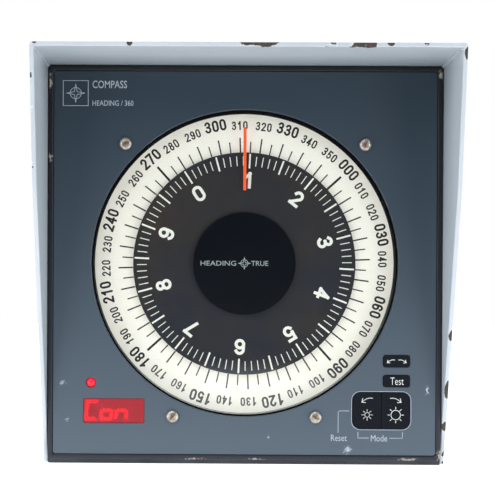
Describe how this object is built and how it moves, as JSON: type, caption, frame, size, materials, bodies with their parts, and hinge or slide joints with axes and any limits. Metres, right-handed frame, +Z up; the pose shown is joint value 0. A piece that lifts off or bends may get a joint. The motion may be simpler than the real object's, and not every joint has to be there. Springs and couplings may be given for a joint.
{
  "type": "gyrocompass repeater",
  "caption": "Square hooded bulkhead compass repeater: geared coarse and fine dial cards behind a round window, red display and alarm lamp, sprung keys.",
  "frame": {"origin": "middle of the bounding box's base, on the surface that the housing stands on", "axes": "+Z up, the dial faces -Y, +X to the right when facing the dial"},
  "size_m": [0.197, 0.16, 0.197],
  "materials": {
    "housing_paint": "semi-gloss pale blue-grey paint, chipped at the edges",
    "tray_paint": "dark satin paint",
    "frame_black": "satin black moulding",
    "panel_slate": "satin slate-blue paint, faintly scuffed",
    "gasket_rubber": "matt black rubber",
    "window_glass": "clear flat glass",
    "card_white": "matt white printed card",
    "card_black": "matt black printed card",
    "disc_navy": "dark navy printed disc",
    "lubber_orange": "orange-red paint",
    "display_red": "clear red acrylic filter",
    "led_red": "clear red epoxy lens",
    "module_black": "matt black moulding",
    "board_green": "green solder-masked board",
    "key_rubber": "matt dark silicone",
    "screw_nickel": "nickel-plated steel with rust in the recesses",
    "plate_aluminium": "milled aluminium",
    "shaft_steel": "turned steel",
    "wheel_brass": "machined brass",
    "diffuser_white": "opal acrylic",
    "gland_nylon": "black nylon"
  },
  "bodies": {
    "housing": {"housing_shell": "housing_paint", "rear_cover": "housing_paint", "base_tray": "tray_paint", "front_frame": "frame_black", "aperture_ring": "frame_black", "front_panel": "panel_slate", "frame_gasket": "gasket_rubber", "window_seal": "gasket_rubber", "dial_window": "window_glass", "centre_disc": "disc_navy", "lubber_line": "lubber_orange", "display_window": "display_red", "alarm_led": "led_red", "display_module": "module_black", "stepper_motor": "module_black", "power_converter": "module_black", "key_switch_1": "module_black", "key_switch_2": "module_black", "key_switch_3": "module_black", "key_switch_4": "module_black", "indicator_board": "board_green", "key_board": "board_green", "lamp_board": "board_green", "main_board": "board_green", "terminal_block": "board_green", "panel_screw_1": "screw_nickel", "panel_screw_2": "screw_nickel", "panel_screw_3": "screw_nickel", "panel_screw_4": "screw_nickel", "rear_cover_screw_1": "screw_nickel", "rear_cover_screw_2": "screw_nickel", "rear_cover_screw_3": "screw_nickel", "rear_cover_screw_4": "screw_nickel", "mounting_flange": "plate_aluminium", "gear_plate_front": "plate_aluminium", "gear_plate_rear": "plate_aluminium", "tie_post_1": "plate_aluminium", "tie_post_2": "plate_aluminium", "tie_post_3": "plate_aluminium", "tie_post_4": "plate_aluminium", "sleeve_bearing": "wheel_brass", "spindle_bearing": "wheel_brass", "lay_bearing_front": "wheel_brass", "lay_bearing_rear": "wheel_brass", "earth_stud": "wheel_brass", "light_diffuser": "diffuser_white", "cable_gland_1": "gland_nylon", "cable_gland_2": "gland_nylon"},
    "coarse_card": {"coarse_dial": "card_white", "coarse_sleeve": "shaft_steel", "coarse_wheel": "wheel_brass"},
    "fine_card": {"fine_dial": "card_black", "fine_spindle": "shaft_steel"},
    "layshaft": {"lay_shaft": "shaft_steel", "lay_wheel": "wheel_brass"},
    "motor_rotor": {"motor_pinion": "shaft_steel"},
    "rotate_key": {"key_rotate": "key_rubber"},
    "test_key": {"key_test": "key_rubber"},
    "dim_key": {"key_dim": "key_rubber"},
    "bright_key": {"key_bright": "key_rubber"}
  },
  "joints": [
    {"name": "coarse_card_spin", "type": "hinge", "parent": "housing", "child": "coarse_card", "pos_m": [0, -0.024, 0.0985], "axis": [0, 1, 0], "continuous": true},
    {"name": "fine_card_spin", "type": "hinge", "parent": "housing", "child": "fine_card", "pos_m": [0, -0.024, 0.0985], "axis": [0, 1, 0], "continuous": true},
    {"name": "layshaft_spin", "type": "hinge", "parent": "housing", "child": "layshaft", "pos_m": [0, -0.024, 0.0649], "axis": [0, 1, 0], "continuous": true},
    {"name": "motor_spin", "type": "hinge", "parent": "housing", "child": "motor_rotor", "pos_m": [0.03383, -0.024, 0.05259], "axis": [0, 1, 0], "continuous": true},
    {"name": "rotate_key_press", "type": "slide", "parent": "housing", "child": "rotate_key", "axis": [0, 1, 0], "range_m": [0, 0.0007], "stiffness_N_per_m": 900, "springref_m": -0.0003},
    {"name": "test_key_press", "type": "slide", "parent": "housing", "child": "test_key", "axis": [0, 1, 0], "range_m": [0, 0.0007], "stiffness_N_per_m": 900, "springref_m": -0.0003},
    {"name": "dim_key_press", "type": "slide", "parent": "housing", "child": "dim_key", "axis": [0, 1, 0], "range_m": [0, 0.0007], "stiffness_N_per_m": 900, "springref_m": -0.0003},
    {"name": "bright_key_press", "type": "slide", "parent": "housing", "child": "bright_key", "axis": [0, 1, 0], "range_m": [0, 0.0007], "stiffness_N_per_m": 900, "springref_m": -0.0003}
  ],
  "couplings": [
    {"joint": "fine_card_spin", "follows": "coarse_card_spin", "ratio": 36},
    {"joint": "layshaft_spin", "follows": "coarse_card_spin", "ratio": -6},
    {"joint": "motor_spin", "follows": "coarse_card_spin", "ratio": 24}
  ]
}
